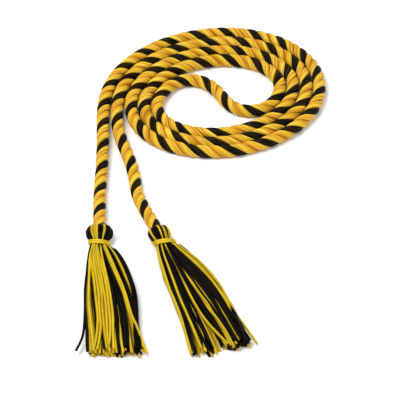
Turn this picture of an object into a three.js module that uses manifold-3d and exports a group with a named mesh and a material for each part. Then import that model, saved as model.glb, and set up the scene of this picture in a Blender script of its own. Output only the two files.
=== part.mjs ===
// An honor cord: one long rope of three twisted strands with a tassel at each end, lying on a table.
// Millimetres, +Z up, the table at z = 0. The rope is laid in one layer as a flat double spiral:
// one arm winds in, an S crosses the middle, the other arm winds out, and both tails run to -Y.

import * as THREE from 'three';
import { mergeVertices } from 'three/addons/utils/BufferGeometryUtils.js';
import Module from 'manifold-3d';

const wasm = await Module();
wasm.setup();

// Rope
const ropeDiameter = 7.9;
const turnGap = 0.3;
const ropeSides = 8;

// Coil: the middle line of its outermost turn is an oval
const ovalLongHalf = 72;
const ovalShortHalf = 61.3;
const ovalTurn = THREE.MathUtils.degToRad( 20.3 );
const stepsPerTurn = 17;
const windingInSteps = 35;
const windingOutSteps = 26;

// Tassels
const headLength = 14.2;
const leftHeadWidth = 17.2;
const rightHeadWidth = 14.2;
const headHeight = 11.6;
const neckWidth = 10.6;
const neckHeight = 5.6;
const skirtLength = 95;
const coreLength = 9;
const hemWidth = 37.6;
const lockHeightShare = 0.58;
const lockSides = 8;
const headSides = 16;
const tieYarn = 1.9;
const tieWraps = 2;
const tieSides = 24;

// Outline of one wrap of a tie, as shares of its yarn: how far its groove and its crest stand out,
// and how far the crest starts from each groove
const wrapGroove = 0.55;
const wrapCrest = 0.95;
const wrapShoulder = 0.22;

// Clearance between pieces that touch on the real cord
const seat = 0.3;

// Points of a mesh that are closer than this are one point
const samePoint = 1e-4;

// Looks
const yarn = { roughness: 0.62, metalness: 0 };
const goldRope = new THREE.MeshStandardMaterial( { color: 0xe0a62e, ...yarn } );
const goldYarn = new THREE.MeshStandardMaterial( { color: 0xd8c02a, ...yarn } );
const blackYarn = new THREE.MeshStandardMaterial( { color: 0x17161a, ...yarn } );

const ropeRadius = ropeDiameter / 2;
const turnPitch = ropeDiameter + turnGap;
const headAxisHeight = headHeight / 2;
const tieLength = tieWraps * tieYarn;
const tieStart = headLength + seat;
const skirtStart = tieStart + tieLength + seat;

// The stretches of the rope that aren't coiled, as points chosen by hand. x and y are from the
// middle of the coil, and lift goes from 0 on the table to 1 at the height of a tassel head's axis.
const leftTail = [
	{ x: - 73.2, y: - 118.5, lift: 1 },
	{ x: - 73.2, y: - 111.9, lift: 0.95 },
	{ x: - 73.2, y: - 90.1, lift: 0.05 },
	{ x: - 71.9, y: - 62.6, lift: 0 },
	{ x: - 71.5, y: - 39.6, lift: 0 },
	{ x: - 71.6, y: - 17.1, lift: 0 },
];
const middleBend = [
	{ x: - 28.4, y: 11.7, lift: 0 },
	{ x: - 22.1, y: 15.1, lift: 0 },
	{ x: - 14.2, y: 15.4, lift: 0 },
	{ x: - 6.4, y: 11.6, lift: 0 },
	{ x: 0.1, y: 3.9, lift: 0 },
	{ x: 4.9, y: - 5.1, lift: 0 },
	{ x: 11.4, y: - 11.1, lift: 0 },
	{ x: 20.2, y: - 13.2, lift: 0 },
	{ x: 28.5, y: - 10.6, lift: 0 },
];
const rightTail = [
	{ x: - 63.0, y: - 17.1, lift: 0 },
	{ x: - 61.3, y: - 34.6, lift: 0 },
	{ x: - 56.1, y: - 53.6, lift: 0 },
	{ x: - 52.3, y: - 70.1, lift: 0 },
	{ x: - 50.3, y: - 87.6, lift: 0.05 },
	{ x: - 42.0, y: - 113.0, lift: 0.95 },
	{ x: - 39.5, y: - 119.2, lift: 1 },
];

// Outline of a tassel's head, from the flat top where the rope goes in down to the neck.
// along is a share of the head's length, width and height run from 0 at the neck to 1 at the head.
const headSections = [
	{ along: 0.0, width: 0.3, height: 0.3 },
	{ along: 0.14, width: 0.78, height: 0.74 },
	{ along: 0.36, width: 1.0, height: 1.0 },
	{ along: 0.62, width: 0.88, height: 0.86 },
	{ along: 0.86, width: 0.4, height: 0.36 },
	{ along: 1.0, width: 0, height: 0 },
];

// Outline of a skirt of loose yarn ends. along is a share of the skirt's length, width and the
// drifts of the two tassels are shares of the hem's width, height and rise of the head's height.
const skirtSections = [
	{ along: 0, width: 0.36, height: 0.52, rise: 0.24, leftDrift: 0.01, rightDrift: 0.01 },
	{ along: 0.07, width: 0.56, height: 0.72, rise: 0.05, leftDrift: 0.07, rightDrift: 0 },
	{ along: 0.26, width: 0.78, height: 0.7, rise: 0, leftDrift: 0.16, rightDrift: 0.05 },
	{ along: 0.48, width: 0.9, height: 0.62, rise: 0, leftDrift: 0.18, rightDrift: 0.03 },
	{ along: 0.75, width: 0.91, height: 0.56, rise: 0, leftDrift: 0.19, rightDrift: 0 },
	{ along: 1.0, width: 1.0, height: 0.5, rise: 0, leftDrift: 0.26, rightDrift: - 0.09 },
];

// Locks of yarn that make a skirt: side runs from -1 to 1 across it, layer 0 lies on the table
// and 1 on top, width is a share of the skirt's width and reach one of its length.
const leftLocks = [
	{ side: - 1, layer: 0, width: 0.26, reach: 0.95 },
	{ side: - 0.5, layer: 0, width: 0.28, reach: 0.97 },
	{ side: 0, layer: 0, width: 0.28, reach: 0.94 },
	{ side: 0.5, layer: 0, width: 0.28, reach: 0.96 },
	{ side: 1, layer: 0, width: 0.26, reach: 0.98 },
	{ side: - 0.72, layer: 1, width: 0.3, reach: 0.94 },
	{ side: - 0.24, layer: 1, width: 0.3, reach: 0.96 },
	{ side: 0.26, layer: 1, width: 0.3, reach: 0.93 },
	{ side: 0.76, layer: 1, width: 0.28, reach: 0.96 },
];
const rightLocks = [
	{ side: - 1, layer: 0, width: 0.26, reach: 0.97 },
	{ side: - 0.5, layer: 0, width: 0.28, reach: 1.0 },
	{ side: 0, layer: 0, width: 0.28, reach: 0.99 },
	{ side: 0.5, layer: 0, width: 0.28, reach: 1.02 },
	{ side: 1, layer: 0, width: 0.26, reach: 1.03 },
	{ side: - 0.7, layer: 1, width: 0.28, reach: 0.96 },
	{ side: - 0.22, layer: 1, width: 0.3, reach: 0.98 },
	{ side: 0.28, layer: 1, width: 0.3, reach: 0.99 },
	{ side: 0.78, layer: 1, width: 0.28, reach: 1.01 },
];

// A rope's route, with a step on each of its points rather than at equal lengths
class RopeRoute extends THREE.Curve {

	constructor( points ) {

		super();
		this.points = points;

	}

	getPoint( share, target = new THREE.Vector3() ) {

		const place = share * ( this.points.length - 1 );
		const before = Math.min( Math.floor( place ), this.points.length - 2 );
		return target.lerpVectors( this.points[ before ], this.points[ before + 1 ], place - before );

	}

	getPointAt( share, target ) {

		return this.getPoint( share, target );

	}

	getTangentAt( share, target = new THREE.Vector3() ) {

		const last = this.points.length - 1;
		const here = Math.round( share * last );
		const ahead = this.points[ Math.min( here + 1, last ) ];
		const behind = this.points[ Math.max( here - 1, 0 ) ];
		return target.subVectors( ahead, behind ).normalize();

	}

}

// A point of the coil: every turn is a parallel curve of the oval, rank pitches inside it.
// Turns run clockwise from the left.
function coilPoint( turns, rank ) {

	const angle = Math.PI * ( 1 - 2 * turns ) - ovalTurn;
	const outside = new THREE.Vector2( ovalLongHalf * Math.cos( angle ), ovalShortHalf * Math.sin( angle ) );
	const outward = new THREE.Vector2( ovalShortHalf * Math.cos( angle ), ovalLongHalf * Math.sin( angle ) );
	outside.addScaledVector( outward.normalize(), - rank * turnPitch );
	outside.rotateAround( new THREE.Vector2(), ovalTurn );
	return new THREE.Vector3( outside.x, outside.y, ropeRadius );

}

// One arm of the double spiral, which sinks two pitches a turn so that the other arm lies between
function coilArm( steps, firstRank ) {

	return Array.from( { length: steps + 1 }, ( _, step ) => {

		const turned = step / stepsPerTurn;
		return coilPoint( turned, firstRank + 2 * turned );

	} );

}

function looseStretch( rows ) {

	return rows.map( ( { x, y, lift } ) => {

		return new THREE.Vector3( x, y, THREE.MathUtils.lerp( ropeRadius, headAxisHeight, lift ) );

	} );

}

function ropePoints() {

	return [
		...looseStretch( leftTail ),
		...coilArm( windingInSteps, 0 ),
		...looseStretch( middleBend ),
		...coilArm( windingOutSteps, 1 ).reverse(),
		...looseStretch( rightTail ),
	];

}

// A regular polygon with a flat side down, as wide across its flats as asked
function flatSidedShape( acrossFlats, sides ) {

	const corner = acrossFlats / 2 / Math.cos( Math.PI / sides );
	const corners = Array.from( { length: sides }, ( _, index ) => {

		const angle = ( index + 0.5 ) * 2 * Math.PI / sides;
		return new THREE.Vector2( corner * Math.cos( angle ), corner * Math.sin( angle ) );

	} );
	return new THREE.Shape( corners );

}

function ropeGeometry( points ) {

	return new THREE.ExtrudeGeometry( flatSidedShape( ropeDiameter, ropeSides ), {
		extrudePath: new RopeRoute( points ),
		steps: points.length - 1,
		bevelEnabled: false,
	} );

}

// A closed skin through rings of points, all with as many points, with flat ends
function skinThrough( rings ) {

	const sides = rings[ 0 ].length;
	const faces = [];
	for ( let ring = 0; ring < rings.length - 1; ring ++ ) {

		for ( let side = 0; side < sides; side ++ ) {

			const next = ( side + 1 ) % sides;
			const here = ring * sides;
			const ahead = here + sides;
			faces.push( here + side, here + next, ahead + next );
			faces.push( here + side, ahead + next, ahead + side );

		}

	}

	const lastRing = ( rings.length - 1 ) * sides;
	for ( let side = 1; side < sides - 1; side ++ ) {

		faces.push( 0, side + 1, side );
		faces.push( lastRing, lastRing + side, lastRing + side + 1 );

	}

	const skin = new THREE.BufferGeometry().setFromPoints( rings.flat() );
	skin.setIndex( faces );
	return skin;

}

// An oval ring across the tassel's axis, with a flat side down
function ovalRing( along, side, height, width, thickness, sides ) {

	const flat = Math.cos( Math.PI / sides );
	return Array.from( { length: sides }, ( _, index ) => {

		const angle = ( index + 0.5 ) * 2 * Math.PI / sides;
		return new THREE.Vector3(
			along,
			side + width / 2 * Math.cos( angle ) / flat,
			height + thickness / 2 * Math.sin( angle ) / flat,
		);

	} );

}

// The head, with the neck under the tie and a core that ends inside the skirt
function headGeometry( headWidth ) {

	const bulge = headSections.map( ( { along, width, height } ) => ovalRing(
		along * headLength,
		0,
		headAxisHeight,
		THREE.MathUtils.lerp( neckWidth, headWidth, width ),
		THREE.MathUtils.lerp( neckHeight, headHeight, height ),
		headSides,
	) );
	const neckEnds = [ skirtStart, skirtStart + coreLength ].map( ( along ) => ovalRing(
		along,
		0,
		headAxisHeight,
		neckWidth,
		neckHeight,
		headSides,
	) );
	return skinThrough( [ ...bulge, ...neckEnds ] );

}

// One lock of yarn ends, which fans out of the neck and comes down to the table
function lockGeometry( lock, driftColumn ) {

	return skinThrough( skirtSections.map( ( section ) => {

		const skirtWidth = section.width * hemWidth;
		const skirtHeight = section.height * headHeight;
		const lockWidth = lock.width * skirtWidth;
		const lockHeight = lockHeightShare * skirtHeight;
		const freeHalf = ( skirtWidth - lockWidth ) / 2;
		const side = section[ driftColumn ] * hemWidth + lock.side * freeHalf;
		const bottom = section.rise * headHeight + lock.layer * ( skirtHeight - lockHeight );
		const along = skirtStart + section.along * lock.reach * skirtLength;
		return ovalRing( along, side, bottom + lockHeight / 2, lockWidth, lockHeight, lockSides );

	} ) );

}

function asSolid( geometry ) {

	const bare = geometry.clone();
	bare.deleteAttribute( 'normal' );
	bare.deleteAttribute( 'uv' );
	const merged = mergeVertices( bare, samePoint );
	return new wasm.Manifold( new wasm.Mesh( {
		numProp: 3,
		vertProperties: new Float32Array( merged.attributes.position.array ),
		triVerts: new Uint32Array( merged.index.array ),
	} ) );

}

function fused( geometries ) {

	const solid = geometries.map( asSolid ).reduce( ( sum, next ) => sum.add( next ) );
	const mesh = solid.getMesh();
	const geometry = new THREE.BufferGeometry();
	geometry.setAttribute( 'position', new THREE.BufferAttribute( mesh.vertProperties, 3 ) );
	geometry.setIndex( new THREE.BufferAttribute( mesh.triVerts, 1 ) );
	return geometry;

}

// The tie: wraps of yarn side by side round the neck, as one closed ring
function tieGeometry() {

	const inside = neckWidth / 2 + seat;
	const groove = inside + tieYarn * wrapGroove;
	const crest = inside + tieYarn * wrapCrest;
	const shoulder = tieYarn * wrapShoulder;
	const profile = [];
	for ( let wrap = 0; wrap < tieWraps; wrap ++ ) {

		const start = wrap * tieYarn;
		profile.push( new THREE.Vector2( groove, start ) );
		profile.push( new THREE.Vector2( crest, start + shoulder ) );
		profile.push( new THREE.Vector2( crest, start + tieYarn - shoulder ) );

	}

	profile.push( new THREE.Vector2( groove, tieLength ) );
	profile.push( new THREE.Vector2( inside, tieLength ) );
	profile.push( new THREE.Vector2( inside, 0 ) );
	profile.push( profile[ 0 ].clone() );

	const ring = new THREE.LatheGeometry( profile, tieSides );
	ring.rotateZ( - Math.PI / 2 );
	ring.scale( 1, 1, ( neckHeight + 2 * seat ) / ( neckWidth + 2 * seat ) );
	return ring;

}

function namedMesh( name, geometry, material ) {

	const mesh = new THREE.Mesh( geometry, material );
	mesh.name = name;
	return mesh;

}

// A tassel at the rope's end, turned the way the rope comes in
function tassel( name, headWidth, locks, driftColumn, ropeBefore, ropeEnd ) {

	const heading = new THREE.Vector3().subVectors( ropeEnd, ropeBefore ).setZ( 0 ).normalize();
	const skirt = locks.map( ( lock ) => lockGeometry( lock, driftColumn ) );
	const body = fused( [ headGeometry( headWidth ), ...skirt ] );
	const tie = namedMesh( `${ name }_tie`, tieGeometry(), goldYarn );
	tie.position.set( tieStart, 0, headAxisHeight );

	const group = new THREE.Group();
	group.add( namedMesh( `${ name }_tassel`, body, blackYarn ), tie );
	group.position.copy( ropeEnd ).addScaledVector( heading, seat ).setZ( 0 );
	group.rotation.z = Math.atan2( heading.y, heading.x );
	return group;

}

const points = ropePoints();
const honorCord = new THREE.Group();
honorCord.add(
	namedMesh( 'cord', ropeGeometry( points ), goldRope ),
	tassel( 'left', leftHeadWidth, leftLocks, 'leftDrift', points[ 1 ], points[ 0 ] ),
	tassel( 'right', rightHeadWidth, rightLocks, 'rightDrift', points.at( - 2 ), points.at( - 1 ) ),
);

// The origin is on the table, under the middle of the whole cord's outline
const outline = new THREE.Box3().setFromObject( honorCord, true );
const middle = outline.getCenter( new THREE.Vector3() );
honorCord.position.set( - middle.x, - middle.y, - outline.min.z );

export default honorCord;
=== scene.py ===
# %% [markdown]
# # An honor cord in gold and black
#
# An honor cord is one long rope with a tassel at each end. It's worn round the neck over a
# gown, with both tassels in front. Here it lies on a pale table as it does in a shop's picture:
# wound into a flat double spiral, with both tails running down to their tassels.
#
# The rope's place, its thickness and the room that each tassel takes are fixed by the model
# that is loaded first. This lesson gives the cord its real surface: three twisted strands of
# rayon, some eighty loose yarn ends in each tassel, looped heads and wrapped ties.

# %% Load the fixed model
import math

import bpy
import numpy as np
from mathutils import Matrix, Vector


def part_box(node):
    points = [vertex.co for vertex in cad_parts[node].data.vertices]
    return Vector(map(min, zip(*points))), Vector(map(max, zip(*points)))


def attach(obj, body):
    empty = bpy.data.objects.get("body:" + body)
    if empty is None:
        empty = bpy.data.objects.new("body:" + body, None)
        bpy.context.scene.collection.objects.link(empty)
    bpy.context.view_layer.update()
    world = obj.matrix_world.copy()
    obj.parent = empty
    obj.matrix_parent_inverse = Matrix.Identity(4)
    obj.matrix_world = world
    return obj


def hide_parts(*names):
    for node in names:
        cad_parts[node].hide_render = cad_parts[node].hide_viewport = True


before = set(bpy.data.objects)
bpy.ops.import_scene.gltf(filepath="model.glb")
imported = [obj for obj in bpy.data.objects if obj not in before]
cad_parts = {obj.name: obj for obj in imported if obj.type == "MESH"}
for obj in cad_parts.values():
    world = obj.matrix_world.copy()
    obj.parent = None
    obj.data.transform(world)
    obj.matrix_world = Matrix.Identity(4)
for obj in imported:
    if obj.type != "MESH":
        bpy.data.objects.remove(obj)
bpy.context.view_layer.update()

# %% [markdown]
# ## Sizes
#
# The lesson thinks in millimetres, as a maker of cords does, and Blender in metres. So every
# size below is in millimetres, and one factor turns it into metres when a mesh is made. Two
# short arrays stand for the way up and for what is left of a point once its height is gone.

# %% The sizes that the cord is made to
MM = 0.001

ROPE_DIAMETER = 7.9
TURN_GAP = 0.3
SEAT = 0.3
HEAD_LENGTH = 14.2
LEFT_HEAD_WIDTH = 17.2
RIGHT_HEAD_WIDTH = 14.2
HEAD_HEIGHT = 11.6
NECK_WIDTH = 10.6
NECK_HEIGHT = 5.6
SKIRT_LENGTH = 95
LEFT_REACH = 0.965
HEM_WIDTH = 37.6
TIE_YARN = 1.9
TIE_WRAPS = 2

ROPE_RADIUS = ROPE_DIAMETER / 2
HEAD_AXIS = HEAD_HEIGHT / 2
TIE_START = HEAD_LENGTH + SEAT
TIE_LENGTH = TIE_WRAPS * TIE_YARN
SKIRT_START = TIE_START + TIE_LENGTH + SEAT

UPWARD = np.array([0, 0, 1])
LEVEL = np.array([1, 1, 0])
print("a tassel is", SKIRT_START + SKIRT_LENGTH, "mm long")

# %% [markdown]
# ## The rope's route
#
# A rope has no shape of its own. What it has is a length and a route. The stretches that
# aren't coiled are listed points: the left tail, the S across the middle and the right
# tail. The two arms of the spiral are worked out instead. Every turn is a parallel curve of one
# oval, and an arm sinks two rope widths a turn, so that the other arm lies in between.
#
# x and y are measured from the middle of the coil. Lift is 0 where the rope lies on the table
# and 1 at the height of a tassel head's middle.

# %% The points that the rope runs through
LEFT_TAIL = [
    (-73.2, -118.5, 1),
    (-73.2, -111.9, 0.95),
    (-73.2, -90.1, 0.05),
    (-71.9, -62.6, 0),
    (-71.5, -39.6, 0),
    (-71.6, -17.1, 0),
]
MIDDLE_BEND = [
    (-28.4, 11.7, 0),
    (-22.1, 15.1, 0),
    (-14.2, 15.4, 0),
    (-6.4, 11.6, 0),
    (0.1, 3.9, 0),
    (4.9, -5.1, 0),
    (11.4, -11.1, 0),
    (20.2, -13.2, 0),
    (28.5, -10.6, 0),
]
RIGHT_TAIL = [
    (-63.0, -17.1, 0),
    (-61.3, -34.6, 0),
    (-56.1, -53.6, 0),
    (-52.3, -70.1, 0),
    (-50.3, -87.6, 0.05),
    (-42.0, -113.0, 0.95),
    (-39.5, -119.2, 1),
]
OVAL_LONG_HALF = 72
OVAL_SHORT_HALF = 61.3
OVAL_TURN = math.radians(20.3)
STEPS_PER_TURN = 17
WINDING_IN_STEPS = 35
WINDING_OUT_STEPS = 26


def coil_point(turns, rank):
    """A point of the coil. Turns run clockwise from the left, rank counts rope widths inwards."""
    angle = math.pi * (1 - 2 * turns) - OVAL_TURN
    outside = np.array([OVAL_LONG_HALF * math.cos(angle), OVAL_SHORT_HALF * math.sin(angle)])
    outward = np.array([OVAL_SHORT_HALF * math.cos(angle), OVAL_LONG_HALF * math.sin(angle)])
    inside = outside - outward / np.linalg.norm(outward) * rank * (ROPE_DIAMETER + TURN_GAP)
    turned_x = inside[0] * math.cos(OVAL_TURN) - inside[1] * math.sin(OVAL_TURN)
    turned_y = inside[0] * math.sin(OVAL_TURN) + inside[1] * math.cos(OVAL_TURN)
    return (turned_x, turned_y, 0)


def coil_arm(steps, first_rank):
    """One arm of the double spiral, from the outside in."""
    turned = [step / STEPS_PER_TURN for step in range(steps + 1)]
    return [coil_point(turns, first_rank + 2 * turns) for turns in turned]


route = LEFT_TAIL + coil_arm(WINDING_IN_STEPS, 0) + MIDDLE_BEND
route = route + coil_arm(WINDING_OUT_STEPS, 1)[::-1] + RIGHT_TAIL
route = np.array(route, float)
route[:, 2] = ROPE_RADIUS + route[:, 2] * (HEAD_AXIS - ROPE_RADIUS)
print("the route has", len(route), "points")

# %% [markdown]
# The fixed model has its origin under the middle of the whole cord, and the route is measured
# from the middle of the coil. The left tassel hangs straight down from its rope end, so the
# middle of its tie gives the step from one to the other.

# %% Move the route into the model's frame
tie_low, tie_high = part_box("left_tie")
tie_middle = np.array((tie_low + tie_high) / 2) / MM
left_end = route[0]
tie_in_route = np.array([left_end[0], left_end[1] - SEAT - TIE_START - TIE_LENGTH / 2])
coil_middle = np.array([tie_middle[0] - tie_in_route[0], tie_middle[1] - tie_in_route[1], 0])
route = route + coil_middle
print("middle of the coil, in mm:", coil_middle.round(3))

# %% [markdown]
# ## The camera
#
# The picture looks squashed: the rope is half as thick again where it runs up and down as where
# it runs across. That is how a flat thing looks from about 43 degrees above the table, because
# the sine of that angle is the squash. A very long lens keeps the far turns as wide as the near
# ones.

# %% Place the camera
PICTURE_SIDE = 400
PIXEL = 0.615
SQUASH = 0.68
COIL_PIXEL = (218.8, 96.0)
SENSOR = 36
LENS = 1200
NEAREST_SEEN = 0.1
FARTHEST_SEEN = 100

elevation = math.asin(SQUASH)
aim = coil_middle + np.array([
    (PICTURE_SIDE / 2 - COIL_PIXEL[0]) * PIXEL,
    (COIL_PIXEL[1] - PICTURE_SIDE / 2) * PIXEL / SQUASH,
    ROPE_RADIUS,
])
back = Vector((0, -math.cos(elevation), math.sin(elevation)))
distance = PICTURE_SIDE * PIXEL * LENS / SENSOR

camera_data = bpy.data.cameras.new("camera")
camera_data.sensor_width = SENSOR
camera_data.lens = LENS
camera_data.clip_start = NEAREST_SEEN
camera_data.clip_end = FARTHEST_SEEN
camera = bpy.data.objects.new("camera", camera_data)
camera.location = (Vector(aim) + back * distance) * MM
camera.rotation_euler = (math.pi / 2 - elevation, 0, 0)
bpy.context.scene.collection.objects.link(camera)
bpy.context.scene.camera = camera
print("the camera looks down by", round(math.degrees(elevation), 1), "degrees")

# %% [markdown]
# ## A smooth line through the points
#
# A rope never turns a sharp corner. A curve is run through the points, cut into even steps and
# eased a little, as the stiffness of the strands would do it. Both ends run on a few
# millimetres, because the tassels are tied over them.

# %% Smooth the route
ROPE_STEP = 0.9
ROPE_EASE = 3.0
ROPE_TUCK = 5.4
FINE_STEPS_PER_MM = 4
EASE_WINDOW = 4


def smooth_line(points, step):
    """A curve through the points, as points an even step apart."""
    reach = np.concatenate([[0], np.cumsum(np.linalg.norm(np.diff(points, axis=0), axis=1))])
    tangents = np.gradient(points, reach, axis=0)
    fine = np.linspace(0, reach[-1], int(reach[-1] * FINE_STEPS_PER_MM))
    piece = np.clip(np.searchsorted(reach, fine, side="right") - 1, 0, len(points) - 2)
    span = (reach[piece + 1] - reach[piece])[:, None]
    share = (fine - reach[piece])[:, None] / span
    start = (2 * share**3 - 3 * share**2 + 1) * points[piece]
    leave = (share**3 - 2 * share**2 + share) * span * tangents[piece]
    end = (3 * share**2 - 2 * share**3) * points[piece + 1]
    arrive = (share**3 - share**2) * span * tangents[piece + 1]
    return even_steps(start + leave + end + arrive, step)


def even_steps(points, step):
    """The same line, with its points an even step apart."""
    reach = np.concatenate([[0], np.cumsum(np.linalg.norm(np.diff(points, axis=0), axis=1))])
    places = np.linspace(0, reach[-1], round(reach[-1] / step) + 1)
    return np.stack([np.interp(places, reach, points[:, axis]) for axis in range(3)], axis=1)


def eased(points, reach_in_steps):
    """The line with its corners rounded off, and its two ends where they were."""
    window = int(EASE_WINDOW * reach_in_steps)
    offsets = np.arange(-window, window + 1)
    weights = np.exp(-0.5 * (offsets / reach_in_steps) ** 2)
    before = 2 * points[0] - points[window:0:-1]
    after = 2 * points[-1] - points[-2:-window - 2:-1]
    longer = np.concatenate([before, points, after])
    columns = [np.convolve(longer[:, axis], weights / weights.sum(), "valid") for axis in range(3)]
    return np.stack(columns, axis=1)


def tucked(points, steps):
    """The line with both ends run straight on, into the tassels' heads."""
    count = np.arange(1, steps + 1)[:, None]
    before = points[0] + (points[0] - points[1]) * count[::-1]
    after = points[-1] + (points[-1] - points[-2]) * count
    return np.concatenate([before, points, after])


centreline = eased(smooth_line(route, ROPE_STEP), ROPE_EASE / ROPE_STEP)
centreline = tucked(centreline, round(ROPE_TUCK / ROPE_STEP))
rope_length = np.linalg.norm(np.diff(centreline, axis=0), axis=1).sum()
print("the rope is", round(rope_length), "mm long")

# %% [markdown]
# ## Tubes
#
# Strands and yarns are all tubes: a ring of points is carried along a line, and each ring is
# joined to the next. A mesh made this way keeps what a bevelled curve would lose. It has closed
# ends, a UV map with one direction round the tube and one along it, and room for a number on
# each point, which the finish can read later.

# %% A mesh of closed tubes
SMOOTH_ANGLE = math.radians(50)


def tube_faces(ring_count, sides, first):
    """The faces of one closed tube, pointing out, as rows of point numbers."""
    faces = []
    for ring in range(ring_count - 1):
        near = first + ring * sides
        far = near + sides
        for side in range(sides):
            ahead = (side + 1) % sides
            faces.append((near + side, near + ahead, far + ahead, far + side))
    last = first + (ring_count - 1) * sides
    faces.append(tuple(range(first + sides - 1, first - 1, -1)))
    faces.append(tuple(range(last, last + sides)))
    return faces


def tube_uv(along, sides, slant):
    """Where each corner of one tube lies in the UV map. Slant is how far the yarn lines lean."""
    around = np.linspace(0, 1, sides + 1)
    near, far = along[:-1, None], along[1:, None]
    left, right = around[None, :-1], around[None, 1:]
    corners = [(left, near), (right, near), (right, far), (left, far)]
    grid = [np.stack(np.broadcast_arrays(u + slant * v, v), axis=-1) for u, v in corners]
    walls = np.stack(grid, axis=2).reshape(-1, 2)
    cap = np.stack([around[:-1], np.zeros(sides)], axis=1)
    return np.concatenate([walls, cap, cap])


def tube_piece(name, tubes, slant):
    """One object made of tubes, each with its rings, its places along and its point values."""
    points = []
    faces = []
    uv = []
    first = 0
    for tube in tubes:
        ring_count, sides = tube["rings"].shape[:2]
        points.append(tube["rings"].reshape(-1, 3))
        faces.extend(tube_faces(ring_count, sides, first))
        uv.append(tube_uv(tube["along"], sides, slant))
        first += ring_count * sides
    mesh = bpy.data.meshes.new(name)
    mesh.from_pydata(np.concatenate(points) * MM, [], faces)
    mesh.uv_layers.new(name="UVMap").data.foreach_set("uv", np.concatenate(uv).ravel())
    for key in tubes[0]["values"]:
        values = np.concatenate([tube["values"][key].ravel() for tube in tubes])
        mesh.attributes.new(key, "FLOAT", "POINT").data.foreach_set("value", values)
    piece = bpy.data.objects.new(name, mesh)
    bpy.context.scene.collection.objects.link(piece)
    bpy.ops.object.select_all(action="DESELECT")
    piece.select_set(True)
    bpy.context.view_layer.objects.active = piece
    bpy.ops.object.shade_smooth_by_angle(angle=SMOOTH_ANGLE)
    print(name, "has", len(tubes), "tubes and", len(mesh.polygons), "faces")
    return piece


print("a tube of 2 rings and 3 sides has", len(tube_faces(2, 3, 0)), "faces")

# %% [markdown]
# ## The three strands
#
# The rope is laid from two gold strands and a black one, which turn round each other to the
# right, so on an upright run each strand climbs like the bar of a Z. Strands press each other
# flat where they meet. So a strand's section is a third of the rope: a rounded outside that
# falls away quickly at both edges, and two flat walls that run in to the middle. Small ridges
# on the outside are the yarns that the strand itself is spun from.
#
# The section keeps two numbers for the finish, which paints shade and bounce light from them.
# Proud is how far a point stands out from the rope's middle, and toward runs from -1 at the edge
# by the black strand to 1 at the edge where the two gold strands meet.

# %% Shape of one strand's section
OUTSIDE_POINTS = 39
WALL_SHARES = (0.8, 0.5, 0.2, 0.02)
SOFT_FALL = 0.07
EDGE_FALL = 0.25
EDGE_SHARPNESS = 6
YARNS_ACROSS = 7
YARN_RIDGE = 0.08
YARN_SLANT = 0.03
MEETING_GAP = 0.02


def strand_section(places):
    """A strand's section at each place: outward, sideways and the share across its outside."""
    across = np.linspace(-1, 1, OUTSIDE_POINTS)[None, :]
    fall = SOFT_FALL * across**2 + EDGE_FALL * across**EDGE_SHARPNESS
    ridges = np.cos(math.pi * YARNS_ACROSS * across + 2 * math.pi * YARN_SLANT * places[:, None])
    outside = ROPE_RADIUS * (1 - fall) + YARN_RIDGE * (ridges - 1) * (1 - across**EDGE_SHARPNESS)
    walls = outside[:, -1:] * np.array(WALL_SHARES)[None, :]
    radius = np.concatenate([outside, walls, walls[:, ::-1]], axis=1)
    edge = np.ones(len(WALL_SHARES))
    share = np.concatenate([across[0], edge, -edge])[None, :] + 0 * radius
    angle = share * math.pi / 3
    return radius * np.cos(angle) + MEETING_GAP, radius * np.sin(angle), share


print("a strand's section has", OUTSIDE_POINTS + 2 * len(WALL_SHARES), "points")

# %% [markdown]
# No rope is laid quite evenly: it opens where it was pulled and closes where it was pushed. A
# lay mark says at which length along the rope, measured from the left tassel's head, the black
# strand faces the viewer, and how many turns it has made by then.

# %% Lay the strands round the centreline
LAY_MARKS = [
    (-25, -2), (13, 0), (92, 4), (167, 8), (241, 12), (312, 16), (370, 19), (435, 22),
    (494, 25), (553, 28), (609, 31), (666, 34), (713, 36), (771, 39), (828, 42), (883, 45),
    (939, 48), (1017, 52), (1065, 54), (1126, 57), (1183, 60), (1246, 63), (1307, 66),
    (1391, 70), (1431, 72),
]
STRANDS = 3
UV_UNIT = 10


def lay_strand(number):
    """One strand's tube. Its angle grows along the rope, which makes the lay right-handed."""
    places = np.linspace(0, rope_length, len(centreline)) - ROPE_TUCK
    tangent = np.gradient(centreline, axis=0)
    tangent /= np.linalg.norm(tangent, axis=1)[:, None]
    upward = UPWARD - tangent * tangent[:, 2:]
    upward /= np.linalg.norm(upward, axis=1)[:, None]
    sideward = np.cross(tangent, upward)
    facing = np.arctan2(sideward @ np.array(back), upward @ np.array(back))
    marks = np.array(LAY_MARKS, float)
    turned = 2 * math.pi * marks[:, 1] + np.interp(marks[:, 0], places, facing)
    turn = np.interp(places, marks[:, 0], turned) + 2 * math.pi * number / STRANDS
    cosine, sine = np.cos(turn)[:, None], np.sin(turn)[:, None]
    strand_out = upward * cosine + sideward * sine
    strand_side = sideward * cosine - upward * sine
    outward, sideways, share = strand_section(places)
    rings = centreline[:, None] + outward[..., None] * strand_out[:, None]
    rings = rings + sideways[..., None] * strand_side[:, None]
    values = {
        "proud": np.hypot(outward, sideways) / ROPE_RADIUS,
        "toward": share if number == 1 else -share,
    }
    return {"rings": rings, "along": places / UV_UNIT, "values": values}


black_strand = tube_piece("black_strand", [lay_strand(0)], 0)
gold_strands = [tube_piece(f"gold_strand_{number}", [lay_strand(number)], 0) for number in (1, 2)]

# %% [markdown]
# ## Tassels
#
# A tassel is a bundle of yarns tied to the rope's end. The yarns loop over the top, are tied in
# at the neck and hang loose below. Lying down, the loose ends fan out into a skirt three or
# four yarns deep.
#
# Each tassel is worked out in a frame of its own: along runs from the top of the head to the
# hem, side runs to the right of the picture and up is up.

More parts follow.
